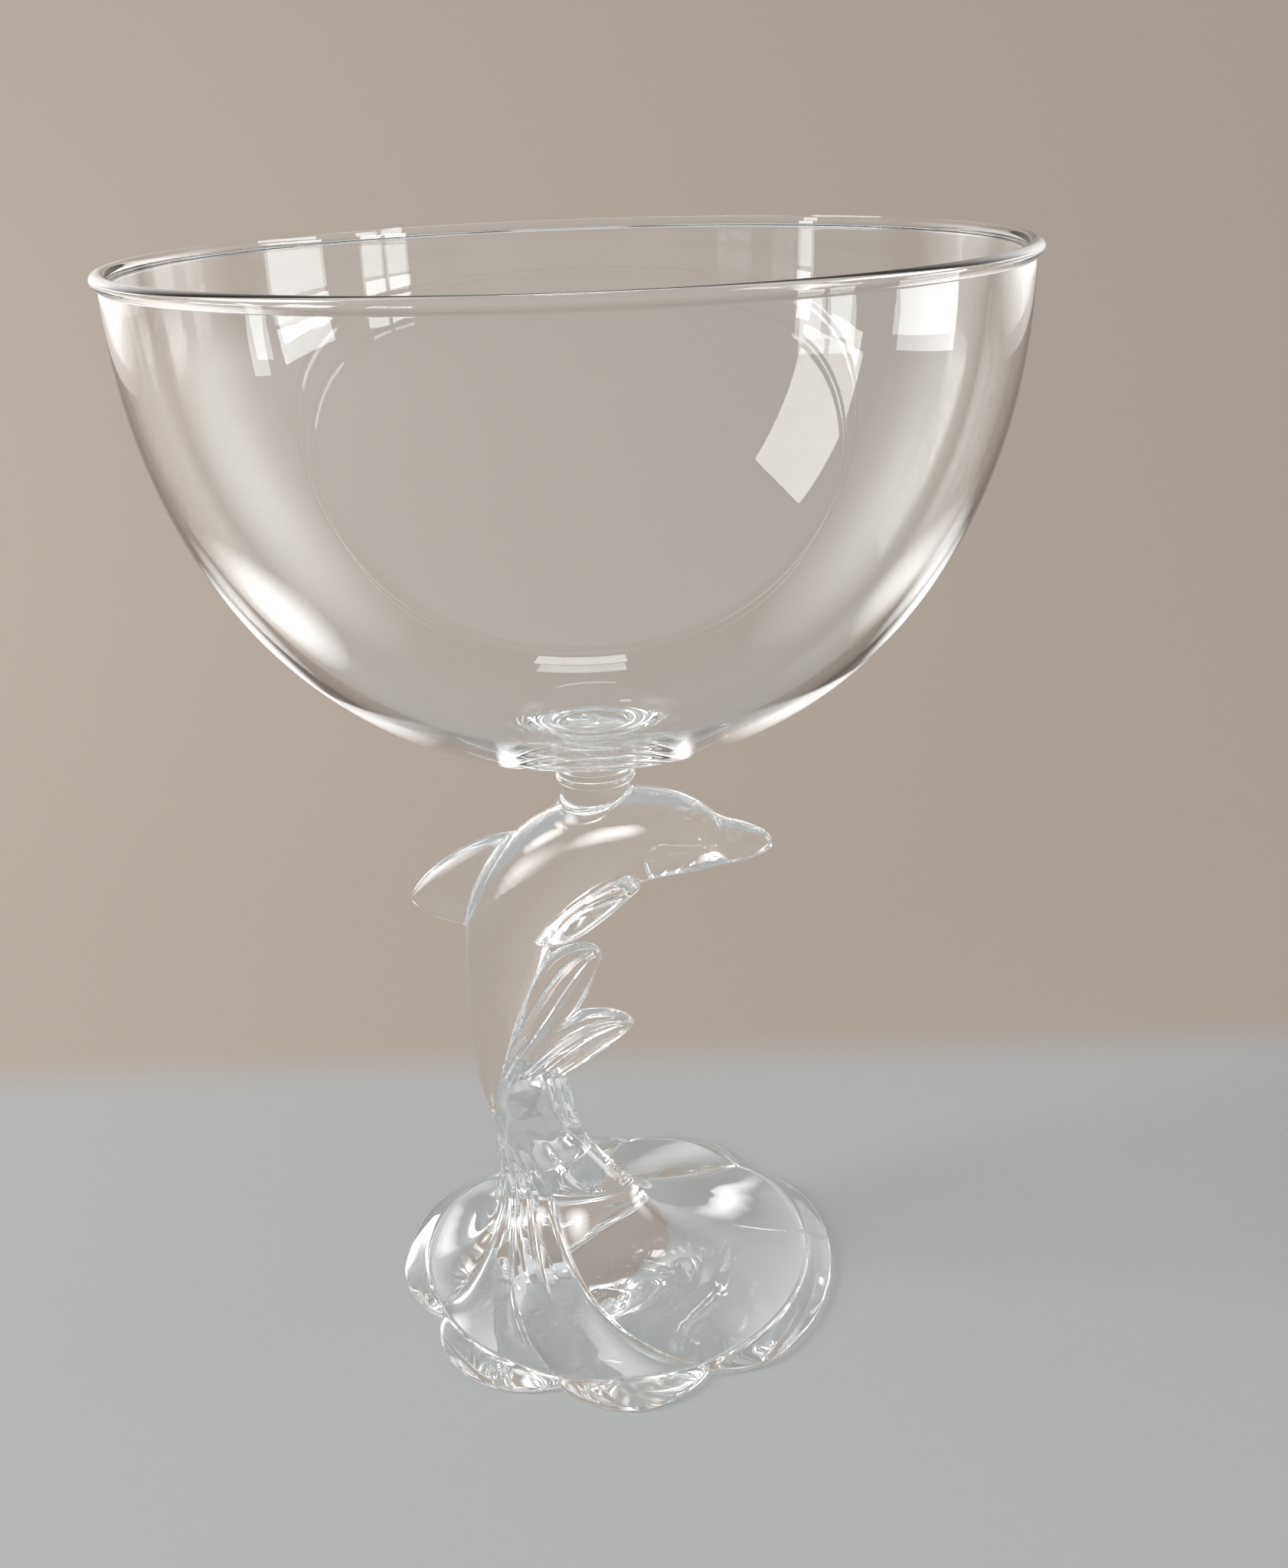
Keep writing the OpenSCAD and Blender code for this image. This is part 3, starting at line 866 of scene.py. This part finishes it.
# %% Press the foot's fine lines
BEAD_T = 0.16
BEAD_W = 0.35
GROOVE_T = 0.3
GROOVE_W = 0.4
SEAM_TURN = math.radians(12.5)
SEAM_T = 0.09
SEAM_W = 0.2
SEAM_FROM = 17.0
SEAM_RUN_IN = 4.0
top_rings = foot_rings[len(under_rings):]
inward = np.gradient(top_rings, axis=0)
onward = np.roll(top_rings, -1, axis=1) - np.roll(top_rings, 1, axis=1)
outward = np.cross(onward, inward)
outward /= np.linalg.norm(outward, axis=2, keepdims=True)
first = len(edge_rings)
from_shoulder = np.linalg.norm(top_rings - top_rings[first], axis=2) / MM
lift = BEAD_T * np.exp(-((from_shoulder / BEAD_W) ** 2))
for angle in creases:
    k = int(np.argmin(np.abs(directions - angle)))
    shown = np.array(shown_long if angle in NOTCHES else shown_short)[:, k, None]
    gap = np.linalg.norm(top_rings[first:] - top_rings[first:, k, None], axis=2) / MM
    lift[first:] -= GROOVE_T * shown * np.exp(-((gap / GROOVE_W) ** 2))
along_seam = (top_rings[..., 0] * math.cos(SEAM_TURN) + top_rings[..., 1] * math.sin(SEAM_TURN)) / MM
off_seam = (top_rings[..., 1] * math.cos(SEAM_TURN) - top_rings[..., 0] * math.sin(SEAM_TURN)) / MM
lift += SEAM_T * np.clip((along_seam - SEAM_FROM) / SEAM_RUN_IN, 0, 1) * np.exp(-((off_seam / SEAM_W) ** 2))
lift[-1] = 0
top_rings += outward * lift[..., None] * MM
print("fine lines reach from", round(lift.min(), 2), "to", round(lift.max(), 2), "mm")
points, faces = skin(foot_rings)
foot = mesh_object("wave_foot_glass", points, faces)
finish_piece(foot, moulded, "wave_foot", [foot_top])
lower_glass.objects.link(foot)

# %% [markdown]
# ## The dolphin
# Fins, tail and water melt into the body with soft roots. Each limb is lofted through a few oval sections.
# The lofts overlap, and a voxel remesh fuses them into one skin, which is then smoothed until the voxels are
# gone. A boolean union would leave knife-sharp corners instead.


# %% Write the loft helper
def limb(sections, across_y, steps=6, sides=64, ridges=0, ridge_depth=0.22, shift_y=0.0):
    """A loft through rows of [x, height over the foot, tilt, half depth, half width], in millimetres."""
    t = np.linspace(0, 2 * np.pi, sides, endpoint=False)
    rib = 1 + ridge_depth * np.cos(np.pi * ridges * np.cos(t)) if ridges else np.ones(sides)
    rings = []
    for x, z, tilt, depth, width in smooth_rows(sections, steps):
        a = math.radians(tilt)
        deep = depth * np.cos(t)
        ring = np.stack([x + deep * math.cos(a), shift_y + across_y * width * np.sin(t) * rib,
                         z + deep * math.sin(a)], axis=1)
        rings.append(ring * MM + np.array([0, 0, foot_top]))
    return skin(rings)


# %% Write down the dolphin's sections
FIN_T = 3.6
FLIPPER_Y = 4.5
BODY_WIDER = 13.4 / 12
BODY = [
    [23.9, 56.5, 90, 0.5, 0.6],
    [22.8, 56.6, 90, 1.6, 1.5],
    [20.0, 56.6, 90, 2.7, 2.2],
    [16.7, 56.6, 91, 3.5, 3.0],
    [13.6, 57.2, 92, 5.0, 4.3],
    [10.0, 57.5, 93, 6.0, 5.1],
    [5.0, 57.0, 100, 6.8, 5.7],
    [-1.5, 54.8, 119, 7.2, 6.0],
    [-8.0, 50.2, 138, 7.3, 6.0],
    [-12.8, 43.0, 158, 6.6, 5.5],
    [-15.4, 33.5, 171, 5.0, 4.4],
    [-17.0, 25.0, 177, 3.4, 3.4],
    [-17.6, 18.0, 182, 2.2, 2.8],
    [-17.0, 11.0, 186, 1.4, 2.2],
]
DORSAL = [
    [-14.0, 49.0, 70, 8.4, 0.5],
    [-17.5, 48.8, 73, 7.5, 0.45],
    [-21.0, 48.0, 78, 5.9, 0.38],
    [-24.2, 46.9, 84, 3.9, 0.3],
    [-26.4, 46.1, 90, 2.0, 0.24],
    [-27.4, 45.8, 92, 0.6, 0.2],
]
UPPER_FLUKE = [
    [-17.0, 13.5, -20, 1.4, 0.6],
    [-14.6, 19.5, -26, 2.4, 0.55],
    [-11.8, 24.6, -31, 3.5, 0.5],
    [-8.6, 29.8, -35, 4.3, 0.46],
    [-5.4, 34.6, -42, 4.0, 0.4],
    [-2.9, 37.4, -54, 2.7, 0.34],
    [-1.2, 38.4, -60, 1.5, 0.28],
    [-0.6, 38.6, -62, 0.7, 0.2],
]
LOWER_FLUKE = [
    [-14.5, 14.6, -36, 2.0, 0.6],
    [-10.6, 18.9, -44, 3.2, 0.55],
    [-6.6, 22.6, -50, 3.9, 0.5],
    [-2.8, 25.4, -54, 3.7, 0.42],
    [0.5, 27.0, -58, 2.7, 0.35],
    [2.7, 27.5, -64, 1.5, 0.28],
    [3.8, 27.4, -68, 0.5, 0.2],
]
FLIPPER = [
    [5.6, 52.6, 118, 1.8, 1.3],
    [2.4, 50.2, 126, 2.4, 1.3],
    [-0.6, 47.6, 130, 2.5, 1.2],
    [-3.4, 45.0, 134, 2.3, 1.1],
    [-6.0, 42.9, 142, 1.8, 1.0],
    [-8.0, 41.8, 150, 1.0, 0.8],
]
lofts = [
    limb(BODY, BODY_WIDER),
    limb(DORSAL, FIN_T),
    limb(UPPER_FLUKE, FIN_T, ridges=3),
    limb(LOWER_FLUKE, FIN_T, ridges=3),
    limb(FLIPPER, BODY_WIDER, shift_y=FLIPPER_Y),
    limb(FLIPPER, BODY_WIDER, shift_y=-FLIPPER_Y),
]
print("limbs:", len(lofts))

# %% Loft the neck
# Depth under the neck's top, and what is added to its half length and half width, in millimetres
NECK_SIDES = 96
NECK = [
    [-2, 0, 0],
    [0, 0, 0],
    [1.6, 0, 0],
    [3.2, 0.5, 0],
    [4.4, 1.4, 0.1],
    [5.4, 2.7, 0.3],
    [6.6, 4.2, 0.4],
    [9, 4.6, 0],
]
turn = np.linspace(0, 2 * np.pi, NECK_SIDES, endpoint=False)
neck_rings = []
for depth, longer, wider in smooth_rows(NECK, 4)[::-1]:
    half_l = NECK_R + longer * MM
    half_w = NECK_R + wider * MM
    lift = np.full(len(turn), neck_top - depth * MM)
    neck_rings.append(np.stack([half_l * np.cos(turn), half_w * np.sin(turn), lift], axis=1))
lofts.append(skin(neck_rings))
print("neck rings:", len(neck_rings))

# %% Loft the column of water
TAIL_X = 12.2
FLUTE_H = 8.0
FLARE_RINGS = 16
# Height over the foot, share of the length, share of the width, and lean towards the tail
COLUMN = [
    [0, 1, 1, 0],
    [2, 0.88, 0.95, 0.28],
    [4, 0.785, 0.9, 0.48],
    [6, 0.705, 0.86, 0.67],
    [9, 0.65, 0.8, 0.83],
    [14, 0.645, 0.665, 1],
    [17.5, 0.55, 0.48, 1],
    [20, 0.36, 0.28, 1],
]
column_rows = smooth_rows(COLUMN, 8)


def column_plan(height):
    """The column's outline at a height over the foot, and its middle."""
    shares = [np.interp(height, column_rows[:, 0], column_rows[:, k]) for k in (1, 2, 3)]
    long_share, wide_share, lean = shares
    flute = FLUTE_T * max(0, 1 - height / FLUTE_H)
    middle = np.array([-COLUMN_X + (COLUMN_X - TAIL_X) * lean, 0])
    return column(COLUMN_L / 2 * long_share, COLUMN_W / 2 * wide_share, flute), middle


column_rings = list(cove_rings[-FLARE_RINGS:-1])
for height in column_rows[:, 0]:
    plan, middle = column_plan(height)
    column_rings.append(ring_at(plan + middle, FOOT_H + height))
lofts.append(skin(column_rings))
print("column rings:", len(column_rings))

# %% Fuse the lofts into one skin
VOXEL = 0.27 * MM
SMOOTH_PASSES = 14
all_points = []
all_faces = []
count = 0
for points, faces in lofts:
    all_points.append(points)
    all_faces += [tuple(i + count for i in face) for face in faces]
    count += len(points)
figure = mesh_object("figure_lofts", np.vstack(all_points), all_faces)
remesh = figure.modifiers.new("fuse", "REMESH")
remesh.mode = "VOXEL"
remesh.voxel_size = VOXEL
fused = bpy.data.meshes.new_from_object(figure.evaluated_get(bpy.context.evaluated_depsgraph_get()))
bpy.data.objects.remove(figure)
print("fused faces:", len(fused.polygons))


# %% Smooth the voxels away
PULL = 0.5
PUSH = -0.52


def smooth_points(points, edges, passes):
    """Smooths a mesh without shrinking it: each pass pulls points to their neighbours, then pushes back."""
    share = np.bincount(edges.ravel(), minlength=len(points))[:, None]
    for k in range(passes):
        for step in (PULL, PUSH):
            total = np.zeros_like(points)
            for axis in range(3):
                total[:, axis] = np.bincount(edges[:, 0], points[edges[:, 1], axis], len(points))
                total[:, axis] += np.bincount(edges[:, 1], points[edges[:, 0], axis], len(points))
            points = points + step * (total / share - points)
    return points


points = np.zeros(len(fused.vertices) * 3)
fused.vertices.foreach_get("co", points)
points = points.reshape(-1, 3)
edges = np.zeros(len(fused.edges) * 2, int)
fused.edges.foreach_get("vertices", edges)
edges = edges.reshape(-1, 2)
points = smooth_points(points, edges, SMOOTH_PASSES)
print("smoothed points:", len(points))


# %% Seat the column and draw the mouth
SETTLE_H = 6.0
SETTLE_STEPS = 24
SETTLE_BELOW = 4
MOUTH_X = [12.5, 15.5, 19.1, 23.2, 24.2]
MOUTH_Z = [72.7, 72.5, 72.26, 71.65, 71.5]
MOUTH_T = 0.22
MOUTH_W = 0.34
MOUTH_MIN_Y = 0.3
MOUTH_MOST = 0.5


def settle(points):
    """Puts the lowest stretch of the column back on its rule, so that it meets the foot's top ring."""
    height = points[:, 2] / MM - FOOT_H
    slab = SETTLE_H / SETTLE_STEPS
    for k in range(-SETTLE_BELOW, SETTLE_STEPS):
        inside = (height >= k * slab) & (height < (k + 1) * slab)
        plan, middle = column_plan(max(0, (k + 0.5) * slab))
        flat = points[inside, :2] / MM - middle
        ring_turn = np.arctan2(plan[:, 1], plan[:, 0])
        order = np.argsort(ring_turn)
        ruled = np.interp(np.arctan2(flat[:, 1], flat[:, 0]), ring_turn[order],
                          np.hypot(plan[:, 0], plan[:, 1])[order], period=2 * np.pi)
        share = np.clip(1 - height[inside] / SETTLE_H, 0, 1)
        grow = 1 + share * (ruled / np.hypot(flat[:, 0], flat[:, 1]) - 1)
        points[inside, :2] = (flat * grow[:, None] + middle) * MM
    return points


def draw_mouth(points):
    """Presses a fine line along both sides of the beak."""
    x, y, z = points.T / MM
    off = (z - np.interp(x, MOUTH_X, MOUTH_Z)) / MOUTH_W
    ends = np.clip((x - MOUTH_X[0]) / (MOUTH_X[1] - MOUTH_X[0]), 0, 1) * (x < MOUTH_X[-1])
    press = MOUTH_T * np.exp(-(off**2)) * ends * (np.abs(y) > MOUTH_MIN_Y)
    points[:, 1] -= np.sign(y) * np.minimum(press, np.abs(y) * MOUTH_MOST) * MM
    return points


points = settle(draw_mouth(points))
fused.vertices.foreach_set("co", points.ravel())
fused.update()
print("points on the settled stretch:", int((points[:, 2] < foot_top + SETTLE_H * MM).sum()))


# %% Cut the stem level at both ends
CUT_WITHIN = 1e-7


def cut_piece(name, bottom, top):
    """A closed copy of the fused skin between two level cuts."""
    shape = bmesh.new()
    shape.from_mesh(fused)
    for height, side in ((bottom, -1), (top, 1)):
        everything = shape.verts[:] + shape.edges[:] + shape.faces[:]
        bmesh.ops.bisect_plane(shape, geom=everything, dist=CUT_WITHIN, plane_co=(0, 0, height),
                               plane_no=(0, 0, side), clear_outer=True)
        rim = [edge for edge in shape.edges if edge.is_boundary]
        bmesh.ops.edgeloop_fill(shape, edges=rim)
    for vertex in shape.verts:
        for height in (bottom, top):
            if abs(vertex.co.z - height) < CUT_WITHIN:
                vertex.co.z = height
    bmesh.ops.recalc_face_normals(shape, faces=shape.faces[:])
    mesh = bpy.data.meshes.new(name)
    shape.to_mesh(mesh)
    shape.free()
    piece = bpy.data.objects.new(name, mesh)
    scene.collection.objects.link(piece)
    return piece


dolphin = cut_piece("dolphin_glass", foot_top, neck_top)
bpy.data.meshes.remove(fused)
finish_piece(dolphin, moulded, "dolphin_stem", [foot_top, neck_top])
lower_glass.objects.link(dolphin)
